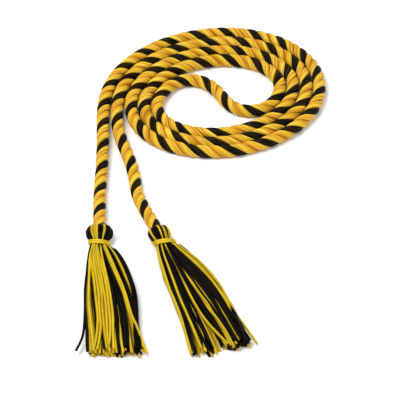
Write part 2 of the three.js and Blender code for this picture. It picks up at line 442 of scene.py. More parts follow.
# %% A tassel's own frame
def tassel_frame(rope_end, rope_before):
    """The place of a tassel's top, and its directions along and to the side."""
    heading = (rope_end - rope_before) * LEVEL
    heading /= np.linalg.norm(heading)
    sideways = np.cross(UPWARD, heading)
    origin = rope_end * LEVEL + heading * SEAT
    return {"origin": origin, "along": heading, "side": sideways}


def placed(own, points):
    """Points given as along, side and up in a tassel's own frame, in the model's frame."""
    along, side, up = points[..., 0:1], points[..., 1:2], points[..., 2:3]
    return own["origin"] + along * own["along"] + side * own["side"] + up * UPWARD


left_frame = tassel_frame(route[0], route[1])
right_frame = tassel_frame(route[-1], route[-2])
print("left tassel starts at", left_frame["origin"].round(1))
print("right tassel starts at", right_frame["origin"].round(1))

# %% [markdown]
# The skirt's colours come in bunches, because the yarns were wound on in turns of one colour.
# A row below is one bunch: its colour, how many of its ends lie in each of four layers from
# the top one down to the table, where they rise and where they dive, and how far to the side
# its middle lies at six places between the neck and the hem. Past its rise an end comes up to
# the top layer, and past its dive it goes down to the table. Both are shares of the skirt's
# length, and never is its very end. Some single ends stray out of their bunch, as loose ends
# do. Underneath lies an even row of ends from edge to edge, so that the table never shows
# through.
#
# The skirt's widths are shares of the hem's width. Its heights, and how far it is held off the
# table beside the neck, are shares of the head's height.

# %% Bunches of yarn, from left to right
SKIRT_PLACES = (0.0, 0.06, 0.26, 0.48, 0.75, 0.9, 1.0)
SKIRT_WIDTHS = (0.36, 0.56, 0.78, 0.9, 0.91, 0.95, 1.0)
SKIRT_HEIGHTS = (0.52, 0.72, 0.7, 0.62, 0.56, 0.53, 0.5)
SKIRT_RISES = (0.24, 0.05, 0, 0, 0, 0, 0)

NEVER = 1
LEFT_BUNCHES = [
    ("black", (1, 0, 0, 0), NEVER, NEVER, (-6.7, -6.9, -9.0, -8.3, -8.4, -14.0)),
    ("black", (0, 0, 1, 0), 0.5, NEVER, (-6.4, -6.7, -7.8, -7.2, -6.9, -6.6)),
    ("gold", (1, 2, 1, 1), NEVER, NEVER, (-5.4, -5.7, -6.9, -4.9, -3.4, -2.5)),
    ("black", (0, 1, 0, 0), 0.16, NEVER, (-5.9, -5.3, -3.5, -1.2, 3.0, 5.4)),
    ("gold", (6, 5, 4, 4), NEVER, NEVER, (-3.2, -0.8, 2.6, 4.0, 4.5, 4.4)),
    ("black", (2, 3, 3, 3), NEVER, NEVER, (0.0, 4.8, 10.4, 12.6, 13.0, 13.0)),
    ("black", (0, 1, 1, 1), 0.26, NEVER, (1.0, 6.4, 12.6, 16.0, 17.0, 17.6)),
    ("gold", (2, 2, 1, 0), NEVER, NEVER, (3.2, 8.9, 15.7, 20.4, 24.4, 27.2)),
    ("black", (1, 1, 0, 0), NEVER, NEVER, (6.3, 12.4, 18.8, 22.6, 23.0, 23.4)),
    ("gold", (1, 0, 0, 0), NEVER, 0.55, (7.6, 14.0, 20.4, 22.4, 22.8, 23.0)),
    ("black", (2, 1, 1, 1), NEVER, NEVER, (9.8, 16.6, 22.0, 23.0, 23.4, 23.8)),
    ("gold", (0, 0, 1, 0), 0.52, 0.76, (1.9, 7.8, 10.0, 14.0, 17.6, 18.6)),
    ("gold", (0, 0, 1, 0), 0.6, NEVER, (2.5, 7.0, 9.0, 9.0, 10.6, 12.4)),
    ("gold", (0, 0, 1, 1), 0.66, NEVER, (3.5, 9.8, 11.4, 12.4, 14.0, 16.2)),
    ("gold", (0, 0, 1, 0), 0.7, NEVER, (4.5, 11.6, 15.4, 17.8, 19.6, 20.8)),
]
RIGHT_BUNCHES = [
    ("gold", (1, 1, 1, 0), NEVER, NEVER, (-7.2, -10.2, -12.8, -15.8, -18.4, -20.8)),
    ("black", (2, 1, 1, 1), NEVER, NEVER, (-5.9, -8.8, -11.4, -14.2, -16.6, -18.2)),
    ("gold", (1, 1, 0, 0), NEVER, NEVER, (-5.0, -6.8, -9.4, -11.7, -13.6, -14.2)),
    ("black", (3, 2, 2, 3), NEVER, NEVER, (-2.6, -4.2, -6.4, -7.4, -7.8, -8.2)),
    ("gold", (0, 1, 0, 0), 0.72, NEVER, (-2.0, -3.4, -5.0, -6.8, -8.9, -11.4)),
    ("gold", (1, 0, 0, 0), NEVER, NEVER, (-0.9, -1.7, -3.4, -2.7, -0.4, 1.0)),
    ("gold", (0, 0, 1, 0), 0.5, 0.8, (-1.4, -2.0, -3.0, -4.3, -5.9, -7.0)),
    ("black", (2, 2, 2, 1), NEVER, NEVER, (-0.2, -0.6, -0.6, 1.2, 2.3, 2.8)),
    ("gold", (0, 0, 1, 1), 0.75, NEVER, (0.4, 0.2, 0.6, 1.2, 1.6, 1.7)),
    ("gold", (0, 1, 1, 0), 0.18, NEVER, (0.6, 0.5, 2.2, 4.6, 4.9, 4.9)),
    ("black", (1, 1, 0, 0), NEVER, NEVER, (1.2, 1.9, 3.9, 6.2, 6.2, 6.0)),
    ("gold", (0, 1, 0, 0), 0.36, NEVER, (1.8, 3.2, 5.6, 7.8, 7.4, 7.0)),
    ("black", (5, 5, 4, 4), NEVER, NEVER, (2.4, 6.0, 10.0, 11.4, 10.4, 9.8)),
    ("gold", (0, 1, 0, 0), 0.78, NEVER, (3.2, 8.0, 11.4, 10.4, 9.3, 9.4)),
    ("gold", (1, 0, 0, 0), NEVER, 0.68, (3.6, 9.6, 14.8, 15.5, 14.8, 14.2)),
    ("black", (0, 1, 1, 0), NEVER, NEVER, (4.2, 11.4, 16.0, 16.0, 15.0, 14.4)),
    ("gold", (1, 1, 1, 0), NEVER, 0.66, (5.4, 13.6, 17.3, 16.2, 14.6, 13.6)),
    ("gold", (0, 1, 0, 0), NEVER, NEVER, (5.8, 14.2, 17.4, 16.4, 19.0, 20.0)),
    ("black", (1, 0, 0, 0), NEVER, 0.1, (7.4, 14.4, 16.2, 15.2, 14.2, 13.6)),
    ("black", (0, 1, 1, 1), 0.5, NEVER, (6.4, 13.8, 16.3, 15.2, 13.8, 13.2)),
]
LEFT_EDGES = [(-6.4, 10.6), (-6.9, 18.6), (-8.4, 22.2), (-8.0, 23.0), (-7.6, 24.6), (-7.2, 26.0)]
RIGHT_EDGES = [(-7.0, 6.4), (-10.0, 13.2), (-12.6, 15.0), (-15.4, 14.2), (-17.6, 13.2), (-20.0, 12.6)]
UNDERSIDE_ENDS = 16
LAYERS = 4


def yarn_ends(bunches, edges):
    """One row for each yarn end: colour, layer, rise, dive and how far to the side it wants to lie."""
    total = sum(sum(counts) for _, counts, *_ in bunches)
    pitch = np.array(SKIRT_WIDTHS[1:]) * HEM_WIDTH / total
    ends = []
    for colour, counts, rise, dive, middle in bunches:
        for depth, count in enumerate(counts):
            for number in range(count):
                share = (number + 0.5) / count - 0.5
                sides = np.array(middle) + share * sum(counts) * pitch
                layer = LAYERS - 1 - depth
                ends.append({"colour": colour, "layer": layer, "rise": rise, "dive": dive, "sides": sides})
    middles = np.array([bunch[-1] for bunch in bunches])
    edges = np.array(edges)
    for share in (np.arange(UNDERSIDE_ENDS) + 0.5) / UNDERSIDE_ENDS:
        sides = edges[:, 0] * (1 - share) + edges[:, 1] * share
        colour = bunches[int(np.abs(middles - sides).sum(axis=1).argmin())][0]
        ends.append({"colour": colour, "layer": 0, "rise": NEVER, "dive": NEVER, "sides": sides})
    return ends


left_ends = yarn_ends(LEFT_BUNCHES, LEFT_EDGES)
right_ends = yarn_ends(RIGHT_BUNCHES, RIGHT_EDGES)
print("yarn ends:", len(left_ends), "left and", len(right_ends), "right")

# %% [markdown]
# At the neck the tie squeezes all the ends into an oval, in rings like the cells of a cut
# cable. The top layer gets the highest places there, and each layer is shared out from left
# to right.

# %% Places in the squeezed neck
YARN = 1.6
OVAL_STEPS = 720
SQUEEZE_STEP = 0.98


def even_angles(half_width, half_height, count):
    """Angles that put points an even way apart round an oval."""
    fine = np.linspace(0, 2 * math.pi, OVAL_STEPS + 1)
    steps = np.hypot(half_width * np.diff(np.cos(fine)), half_height * np.diff(np.sin(fine)))
    reach = np.concatenate([[0], np.cumsum(steps)])
    return np.interp((np.arange(count) + 0.5) / count * reach[-1], reach, fine)


def neck_places(count):
    """As many places as asked, in rings inside the neck, and the yarn's squeezed size."""
    squeezed = YARN
    places = []
    while len(places) < count:
        squeezed *= SQUEEZE_STEP
        places = []
        half_width = (NECK_WIDTH - squeezed) / 2
        half_height = (NECK_HEIGHT - squeezed) / 2
        while half_height > 0:
            ring = max(1, int(math.pi * (half_width + half_height) / squeezed))
            angles = even_angles(half_width, half_height, ring)
            places.extend(zip(half_width * np.cos(angles), half_height * np.sin(angles)))
            half_width -= squeezed
            half_height -= squeezed
    return np.array(places[:count]), squeezed


def share_out_neck(ends):
    """Gives each yarn end its place in the neck, and says how thin a yarn is squeezed there."""
    places, squeezed = neck_places(len(ends))
    highest_first = list(np.argsort(-places[:, 1], kind="stable"))
    for layer in range(LAYERS - 1, -1, -1):
        group = [end for end in ends if end["layer"] == layer]
        taken = highest_first[:len(group)]
        highest_first = highest_first[len(group):]
        group.sort(key=lambda end: end["sides"][0])
        taken.sort(key=lambda place: places[place][0])
        for end, place in zip(group, taken):
            end["neck"] = places[place]
    return squeezed


left_squeezed = share_out_neck(left_ends)
right_squeezed = share_out_neck(right_ends)
print("a yarn is squeezed to", round(left_squeezed, 2), "mm in the left neck")

# %% [markdown]
# Below the neck the ends have to lie on each other without sinking into each other. That is a
# small simulation. Blender could drop each end as cloth or hair, but plain arrays are quicker
# and say where each colour ends up: every end is pulled towards its place, two ends that touch
# push each other apart, none sinks into the table, and each end is kept smooth along its own
# length. A couple of hundred rounds settle the pile.

# %% Let the ends settle
SETTLE_STEPS = 40
SETTLE_ROUNDS = 220
SIDE_PULL = 0.06
HEIGHT_PULL = 0.03
SMOOTHING = 0.35
PUSH = 0.3
TOUCH = 0.97
SET_APART = 100
NOT_QUITE_NOTHING = 1e-6
BEND_ROUNDS = 12
FULL_SIZE_SHARE = 0.22
LAYER_CHANGE = 0.25
WAVE_START = 0.1
WAVE_SIDE = 0.55
WAVE_HEIGHT = 0.5
WAVE_GROWTH = 0.5
WAVES = (1.2, 2.8)
HEM_SPLAY = 1.1
HEM_SPLAY_START = 0.7
HEM_SPLAY_GROWTH = 2
LEFT_PILE_SEED = 5
RIGHT_PILE_SEED = 7


def layer_along(end, shares):
    """The layer in which an end lies at each step, with its rise and its dive."""
    risen = np.clip((shares - end["rise"]) / LAYER_CHANGE, 0, 1)
    dived = np.clip((shares - end["dive"]) / LAYER_CHANGE, 0, 1)
    return (end["layer"] + risen * (LAYERS - 1 - end["layer"])) * (1 - dived)


def waves(shares, chance):
    """A slow wander down one end, from side to side or up and down, which starts below the neck."""
    count = chance.uniform(*WAVES)
    start = chance.uniform(0, 1)
    grown = np.clip((shares - WAVE_START) / (1 - WAVE_START), 0, 1) ** WAVE_GROWTH
    return grown * np.sin(2 * math.pi * (count * shares + start))


def wanted_lines(ends, shares, chance):
    """Where the ends would lie with no other yarn in the way: side and height at each step."""
    splayed = np.clip((shares - HEM_SPLAY_START) / (1 - HEM_SPLAY_START), 0, 1) ** HEM_SPLAY_GROWTH
    heights = np.interp(shares, SKIRT_PLACES, SKIRT_HEIGHTS) * HEAD_HEIGHT
    rises = np.interp(shares, SKIRT_PLACES, SKIRT_RISES) * HEAD_HEIGHT
    wanted = np.zeros((len(shares), len(ends), 2))
    for number, end in enumerate(ends):
        knots = np.concatenate([[end["neck"][0]], end["sides"]])
        wanted[:, number, 0] = np.interp(shares, SKIRT_PLACES, knots)
        wanted[:, number, 0] += WAVE_SIDE * waves(shares, chance) + HEM_SPLAY * chance.normal() * splayed
        level = rises + YARN / 2 + (heights - YARN) * layer_along(end, shares) / (LAYERS - 1)
        level = level + WAVE_HEIGHT * waves(shares, chance)
        opened = np.clip(shares / SKIRT_PLACES[1], 0, 1)
        wanted[:, number, 1] = (HEAD_AXIS + end["neck"][1]) * (1 - opened) + level * opened
    for _ in range(BEND_ROUNDS):
        wanted[1:-1] = wanted[1:-1] / 2 + (wanted[:-2] + wanted[2:]) / 4
    return wanted


def settled(ends, squeezed, seed):
    """Side and height of every end at even steps down the skirt, with touching ends apart."""
    shares = np.linspace(0, 1, SETTLE_STEPS)
    wanted = wanted_lines(ends, shares, np.random.default_rng(seed))
    size = np.interp(shares, (0, FULL_SIZE_SHARE), (squeezed, YARN))[:, None]
    place = wanted.copy()
    same = np.eye(len(ends)) * SET_APART
    for _ in range(SETTLE_ROUNDS):
        place[..., 0] += SIDE_PULL * (wanted[..., 0] - place[..., 0])
        place[..., 1] += HEIGHT_PULL * (wanted[..., 1] - place[..., 1])
        between = (place[:-2] + place[2:]) / 2
        place[1:-1] += SMOOTHING * (between - place[1:-1])
        apart = place[:, :, None] - place[:, None]
        far = np.sqrt((apart**2).sum(-1)) + same + NOT_QUITE_NOTHING
        overlap = np.clip(size[..., None] * TOUCH - far, 0, None)
        place += PUSH * (apart * (overlap / far)[..., None]).sum(2)
        place[..., 1] = np.maximum(place[..., 1], size / 2)
        place[0] = wanted[0]
    return shares, place, size[:, 0]


left_settled = settled(left_ends, left_squeezed, LEFT_PILE_SEED)
right_settled = settled(right_ends, right_squeezed, RIGHT_PILE_SEED)
print("the left skirt is", round(float(np.ptp(left_settled[1][-1, :, 0]) + YARN), 1), "mm wide at the hem")

# %% [markdown]
# The tie leans: it sits a little further down the tassel on top than underneath, and is pulled
# a little askew. A yarn end starts hidden under it, stays inside it and flares out once it has
# passed.

# %% Pass under the tie
TIE_LEAN = 0.45
LEFT_TIE_SKEW = 0.14
RIGHT_TIE_SKEW = 0.24
HIDDEN_START = 0.3
NECK_FLARE = 0.4


def tie_shift(side, up, skew):
    """How far down the tassel the tie's lean and skew move it at a place round the neck."""
    return TIE_LEAN * (up - HEAD_AXIS) + skew * side


def under_tie(along, side, up, radii, skew):
    """The side and height of a yarn, kept inside the neck until it has passed the tie."""
    passed = along - TIE_START - TIE_LENGTH - tie_shift(side, up, skew)
    flare = 1 + np.clip(passed, 0, None) * NECK_FLARE
    out = np.hypot(side / (NECK_WIDTH / 2 - radii), (up - HEAD_AXIS) / (NECK_HEIGHT / 2 - radii))
    keep = flare / np.maximum(out, flare)
    return side * keep, HEAD_AXIS + (up - HEAD_AXIS) * keep


print("the tie leans by", round(tie_shift(0, HEAD_AXIS + NECK_HEIGHT, 0), 2), "mm from bottom to top")

# %% [markdown]
# Each settled line becomes a soft tube. It thickens as it leaves the squeeze and ends in a
# clean cut. No two ends are quite the same length. A tube needs a section that doesn't spin as
# the line bends, so the side of each ring is carried over from the ring before it. A yarn's
# shade also moves the pattern of its fine lines, so that no two yarns show the same one.

# %% Yarn tubes
YARN_SIDES = 12
YARN_RINGS = 54
REACH_SPREAD = 0.016
FAN_LEAD = 3.4
FIRST_SIDE = (0.3, 0.5, 0.8)
PATTERN_SHIFT = 40


def carried_rings(path, radii, sides):
    """Rings of a round tube along a path. Each ring keeps the last one's direction."""
    tangent = np.gradient(path, axis=0)
    tangent /= np.linalg.norm(tangent, axis=1)[:, None]
    carried = np.cross(tangent[0], FIRST_SIDE)
    rings = []
    angles = np.linspace(0, 2 * math.pi, sides, endpoint=False)
    for point, ahead, radius in zip(path, tangent, radii):
        carried = carried - ahead * (carried @ ahead)
        carried = carried / np.linalg.norm(carried)
        other = np.cross(ahead, carried)
        circle = np.outer(np.cos(angles), carried) + np.outer(np.sin(angles), other)
        rings.append(point + circle * radius)
    return np.array(rings)


def yarn_tube(own, path, radii, shade):
    """One yarn as a tube, from a path in its tassel's frame."""
    in_model = placed(own, path)
    reach = np.concatenate([[0], np.cumsum(np.linalg.norm(np.diff(path, axis=0), axis=1))])
    values = np.full((len(path), YARN_SIDES), shade)
    return {
        "rings": carried_rings(in_model, radii, YARN_SIDES),
        "along": reach / UV_UNIT + shade * PATTERN_SHIFT,
        "values": {"shade": values},
    }


def skirt_tubes(tassel, chance):
    """The loose ends of one tassel as tubes, sorted by colour. Cut is the hem's slant."""
    shares, place, size = tassel["settled"]
    length = tassel["length"]
    tubes = {"gold": [], "black": []}
    fan_start = SKIRT_START - FAN_LEAD
    for number, end in enumerate(tassel["ends"]):
        reach = 1 + chance.normal(0, REACH_SPREAD) + tassel["cut"] * place[-1, number, 0] / length
        fan_length = FAN_LEAD + length * reach
        shift = tie_shift(place[0, number, 0], place[0, number, 1], tassel["skew"])
        start = TIE_START + HIDDEN_START * TIE_LENGTH + shift
        rings = np.linspace((start - fan_start) / fan_length, 1, YARN_RINGS)
        side = np.interp(rings, shares, place[:, number, 0])
        up = np.interp(rings, shares, place[:, number, 1])
        radii = np.interp(rings, shares, size) / 2
        along = fan_start + rings * fan_length
        side, up = under_tie(along, side, up, radii, tassel["skew"])
        path = np.stack([along, side, up], axis=1)
        tubes[end["colour"]].append(yarn_tube(tassel["own"], path, radii, chance.random()))
    return tubes


print("a yarn's tube has", YARN_RINGS, "rings of", YARN_SIDES, "points")

# %% [markdown]
# The head is a ring of loops. Each one comes up beside the rope, turns over the top, bulges
# and dives under the tie. The colours round the head follow the picture: first the loops that
# show from above, from left to right, then the ones underneath. A second layer of loops lies
# behind the gaps of the first, each in its neighbour's colour, so that the head is full. A
# head could be one bulged solid with grooves, but separate loops stay round against the light,
# and the helper that makes the loose ends makes them too.
#
# A loop's course is a few knots along it: where it climbs to the top and turns, how far it has
# swung outwards by then, and how thick it is on the way to the tie.

# %% Loops of the head
HEAD_PLACES = (0.0, 0.14, 0.36, 0.62, 0.86, 1.0)
HEAD_WIDTHS = (0.3, 0.78, 1.0, 0.88, 0.4, 0)
HEAD_HEIGHTS = (0.3, 0.74, 1.0, 0.86, 0.36, 0)
LOOP_RINGS = 30
LOOP_TOP = ROPE_RADIUS * 0.72
CLIMB_KNOTS = (0, 0.16, 0.3, 1)
CLIMB_START = 0.15
CLIMB_TURNED = 0.05
LOOP_END = 1.24
SWING_KNOTS = (0, 0.1, 0.2, 0.3)
SWING_SHARES = (0, 0.1, 0.55, 1)
THICK_KNOTS = (0, 0.1, 0.35, 0.7, 1)
TOP_RADIUS = 0.62
SHOULDER_RADIUS = 0.7
WAIST_SHARE = 0.9
LOOP_EASE_ROUNDS = 2
TURN_SPREAD = 0.03
LEAN_SPREAD = 0.06
SWELL_SPREAD = 0.015
INNER_DEPTH = 1.3
LEFT_LOOPS = "black black black gold gold gold black black gold black black black black".split()
RIGHT_LOOPS = "black black gold black black black gold black gold black gold gold gold".split()
HIDDEN_LOOPS = "black gold gold black black gold black gold gold black black gold black".split()


def loop_path(tassel, angle, fat, depth, chance):
    """The line and the radii of one loop. Depth is how far it lies behind the outer layer."""
    start = tassel["head_start"]
    angle = angle + chance.normal(0, TURN_SPREAD)
    lean = chance.normal(0, LEAN_SPREAD)
    swell = 1 + chance.normal(0, SWELL_SPREAD)
    knots = np.linspace(0, 1, LOOP_RINGS)
    climb = (start + CLIMB_START, start, start + CLIMB_TURNED, LOOP_END)
    share = np.interp(knots, CLIMB_KNOTS, climb)
    grown = (share - start) / (1 - start)
    over = np.interp(knots, SWING_KNOTS, SWING_SHARES)
    width_share = np.interp(grown, HEAD_PLACES, HEAD_WIDTHS)
    height_share = np.interp(grown, HEAD_PLACES, HEAD_HEIGHTS)
    width = NECK_WIDTH + (tassel["head_width"] - NECK_WIDTH) * width_share
    height = NECK_HEIGHT + (HEAD_HEIGHT - NECK_HEIGHT) * height_share
    thick = (TOP_RADIUS, SHOULDER_RADIUS, fat, fat * WAIST_SHARE, tassel["squeezed"] / 2)
    radii = np.interp(grown, THICK_KNOTS, thick)
    wide = (width / 2 * swell - radii - depth) * over + LOOP_TOP * (1 - over)
    high = (height / 2 * swell - radii - depth) * over + LOOP_TOP * (1 - over)
    turned = angle + lean * share
    path = np.stack([
        share * HEAD_LENGTH,
        wide * np.cos(turned),
        HEAD_AXIS + high * np.sin(turned),
    ], axis=1)
    for _ in range(LOOP_EASE_ROUNDS):
        path[1:-1] = path[1:-1] / 2 + (path[:-2] + path[2:]) / 4
    return path, radii


def loop_tubes(tassel, chance, tubes):
    """The loops of one head as tubes, added to the skirt's."""
    colours = tassel["loops"] + HIDDEN_LOOPS
    head_width = tassel["head_width"]
    outer = even_angles(head_width / 2, HEAD_HEIGHT / 2, len(colours))
    inner = (outer + np.append(outer[1:], outer[0] + 2 * math.pi)) / 2
    seen_from_above = len(colours) // 2
    order = list(range(seen_from_above))[::-1]
    order += list(range(seen_from_above, len(colours)))
    fat = math.pi * (head_width + HEAD_HEIGHT - 2 * YARN) / 2 / len(colours) / 2
    for angles, depth in ((outer, 0), (inner, INNER_DEPTH * fat)):
        for colour, number in zip(colours, order):
            path, radii = loop_path(tassel, angles[number], fat, depth, chance)
            tubes[colour].append(yarn_tube(tassel["own"], path, radii, chance.random()))


print("loops that show from above:", len(LEFT_LOOPS), "left and", len(RIGHT_LOOPS), "right")

# %% [markdown]
# Each tassel becomes two pieces, one for each colour, because a piece has one finish. The left
# head starts a little nearer the rope's end than the right one, and the right hem is cut on a
# slant.

# %% Make the yarn pieces
YARN_LINE_SLANT = 0.12
LEFT_HEAD_START = 0.16
RIGHT_HEAD_START = 0.24
RIGHT_HEM_SLANT = 0.12
LEFT_YARN_SEED = 11
RIGHT_YARN_SEED = 23


def tassel_pieces(tassel):
    """The gold and the black yarns of one tassel, as two pieces."""
    chance = np.random.default_rng(tassel["seed"])
    tubes = skirt_tubes(tassel, chance)
    loop_tubes(tassel, chance, tubes)
    name = tassel["name"]
    gold = tube_piece(f"{name}_gold_yarns", tubes["gold"], YARN_LINE_SLANT)
    black = tube_piece(f"{name}_black_yarns", tubes["black"], YARN_LINE_SLANT)
    return gold, black


left_gold, left_black = tassel_pieces({
    "name": "left", "own": left_frame, "ends": left_ends, "settled": left_settled,
    "squeezed": left_squeezed, "loops": LEFT_LOOPS, "head_width": LEFT_HEAD_WIDTH,
    "head_start": LEFT_HEAD_START, "length": SKIRT_LENGTH * LEFT_REACH, "cut": 0,
    "skew": LEFT_TIE_SKEW, "seed": LEFT_YARN_SEED,
})
right_gold, right_black = tassel_pieces({
    "name": "right", "own": right_frame, "ends": right_ends, "settled": right_settled,
    "squeezed": right_squeezed, "loops": RIGHT_LOOPS, "head_width": RIGHT_HEAD_WIDTH,
    "head_start": RIGHT_HEAD_START, "length": SKIRT_LENGTH, "cut": RIGHT_HEM_SLANT,
    "skew": RIGHT_TIE_SKEW, "seed": RIGHT_YARN_SEED,
})

# %% [markdown]
# ## Ties
#
# The tie is one gold yarn wrapped twice round the neck, with both ends tucked in. It could be a
# spiral run as a tube, but nothing shows where its ends go. So each wrap is a ring of its own: a
# torus, pressed to the neck's oval and leant just as the loose ends expect it.

# %% Wrap the ties
WRAP_STEPS = 56
WRAP_SIDES = 14
TIE_SINK = 0.8


def wrap_tie(name, own, skew):
    """The wraps of yarn round a tassel's neck."""
    radius = TIE_YARN / 2
    bpy.ops.object.select_all(action="DESELECT")
    for number in range(TIE_WRAPS):
        bpy.ops.mesh.primitive_torus_add(
            major_segments=WRAP_STEPS,
            minor_segments=WRAP_SIDES,
            major_radius=(NECK_WIDTH / 2 + TIE_SINK * radius) * MM,
            minor_radius=radius * MM,
            location=(0, 0, (number + 0.5) * TIE_YARN * MM),
        )
        if number == 0:
            tie = bpy.context.object
    bpy.context.object.select_set(True)
    tie.select_set(True)
    bpy.context.view_layer.objects.active = tie
    bpy.ops.object.join()
    bpy.ops.object.transform_apply(location=True, rotation=True, scale=True)
    tie.name = name
    tie.data.name = name
    flat = np.zeros(len(tie.data.vertices) * 3)
    tie.data.vertices.foreach_get("co", flat)
    flat = flat.reshape(-1, 3) / MM
    squash = (NECK_HEIGHT + 2 * SEAT) / (NECK_WIDTH + 2 * SEAT)
    side = flat[:, 0]
    up = HEAD_AXIS + flat[:, 1] * squash
    along = TIE_START + flat[:, 2] + tie_shift(side, up, skew)
    standing = np.stack([along, side, up], axis=1)
    tie.data.vertices.foreach_set("co", (placed(own, standing) * MM).ravel())
    bpy.ops.object.mode_set(mode="EDIT")
    bpy.ops.mesh.select_all(action="SELECT")
    bpy.ops.mesh.normals_make_consistent(inside=False)
    bpy.ops.object.mode_set(mode="OBJECT")
    bpy.ops.object.shade_smooth_by_angle(angle=SMOOTH_ANGLE)
    print(name, "has", len(tie.data.polygons), "faces")
    return tie


left_wraps = wrap_tie("left_wraps", left_frame, LEFT_TIE_SKEW)
right_wraps = wrap_tie("right_wraps", right_frame, RIGHT_TIE_SKEW)

# %% [markdown]
# ## Finishes
#
# A material is a small sum over the surface. Its nodes could be added and linked one by one, but
# two helpers let it be written as a sum. A Wire is one socket, and a sum, a difference or a
# product of wires adds the Math node that works it out. A Finish is a material, with one method
# that adds any other node.

# %% Wires and finishes
STREAK_ROUGHNESS = 0.6


class Wire:
    """One socket of a material's nodes, which can be added to, taken from and multiplied."""

    def __init__(self, finish, socket):
        self.finish = finish
        self.socket = socket

    def maths(self, operation, first, second):
        """Adds the Math node for one operation on two wires or numbers."""
        return self.finish.node("ShaderNodeMath", {"operation": operation}, {0: first, 1: second})

    def __add__(self, other):
        return self.maths("ADD", self, other)

    def __radd__(self, other):
        return self.maths("ADD", other, self)

    def __sub__(self, other):
        return self.maths("SUBTRACT", self, other)

    def __rsub__(self, other):
        return self.maths("SUBTRACT", other, self)

    def __mul__(self, other):
        return self.maths("MULTIPLY", self, other)

    def __rmul__(self, other):
        return self.maths("MULTIPLY", other, self)


class Finish:
    """A material made of nodes around one Principled shader."""

    def __init__(self, name):
        self.material = bpy.data.materials.new(name)
        self.material.use_nodes = True
        self.tree = self.material.node_tree
        self.shader = self.tree.nodes["Principled BSDF"]

    def node(self, kind, settings=None, inputs=None, output=0):
        """Adds a node with its settings and its sockets, and gives one of its outputs."""
        made = self.tree.nodes.new(kind)
        for key, value in (settings or {}).items():
            if key == "stops":
                self.set_stops(made.color_ramp, value)
            else:
                setattr(made, key, value)
        self.fill(made, inputs or {})
        return Wire(self, made.outputs[output])

    def fill(self, made, inputs):
        """Links wires to a node's sockets, and sets plain values on them."""
        for key, value in inputs.items():
            if isinstance(value, Wire):
                self.tree.links.new(value.socket, made.inputs[key])
            else:
                made.inputs[key].default_value = value

    def set_stops(self, ramp, stops):
        """Sets a ramp's places and colours."""
        while len(ramp.elements) < len(stops):
            ramp.elements.new(1)
        for element, (place, colour) in zip(ramp.elements, stops):
            element.position = place
            element.color = colour

    def mix(self, factor, first, second):
        """A colour between two others."""
        return self.node("ShaderNodeMix", {"data_type": "RGBA"}, {0: factor, 6: first, 7: second}, 2)

    def scaled(self, value, low, high):
        """A value from 0 to 1, moved to run from low to high."""
        return value * (high - low) + low

    def streaks(self, across, along, detail):
        """Fine lines that run along the tube, from the UV map."""
        uv = self.node("ShaderNodeUVMap", {"uv_map": "UVMap"})
        stretched = self.node("ShaderNodeMapping", None, {"Vector": uv, "Scale": (across, along, 1)})
        return self.node("ShaderNodeTexNoise", {"noise_dimensions": "2D"}, {
            "Vector": stretched, "Scale": 1.0, "Detail": detail, "Roughness": STREAK_ROUGHNESS})

    def attribute(self, name):
        """A number that the mesh holds on each of its points."""
        return self.node("ShaderNodeAttribute", {"attribute_name": name}, None, 2)


# %% [markdown]
# Rayon is a smooth, bright thread. On a strand its lines run nearly along the strand, some
# darker and some paler, and the crests catch the light; the palest lines get a painted highlight
# on top of their paler tone. Where the two gold strands meet, light bounces between two gold
# walls, so the groove there is painted orange with bounce light and darker with painted shade.
# At its other edge, beside the black strand, a gold strand gets no painted bounce light and
# looks palest. The black strand's edges are painted a little paler than its middle, as bounce
# light from the gold strands beside it.
#
# The thread lines could be cut into the mesh, but they are far finer than its faces. So they
# are noise that is stretched along the UV map: a coarse one for the yarns and a fine one for
# the filaments, which also set the shine and a little relief.

# %% Finish of the strands
GROOVE_PROUD = 0.68
CREST_PROUD = 0.88
PALE_PLACE = 0.16
MIDDLE_PLACE = 0.5
ORANGE_PLACE = 0.8
COARSE_LINES = (9, 0.5)
COARSE_SHARE = 0.7
FINE_LINES = (40, 0.8)
FINE_SHARE = 0.3
STRAND_DETAIL = 2.0
EVEN_LINE = 0.5
DARKEST_LINE = 0.34
BRIGHTEST_LINE = 0.64
STREAK_STRENGTH = 0.8
STRAND_RELIEF = {"Strength": 0.6, "Distance": 0.0002}
DULLER = 0.08
STRAND_SHINIER = 0.1


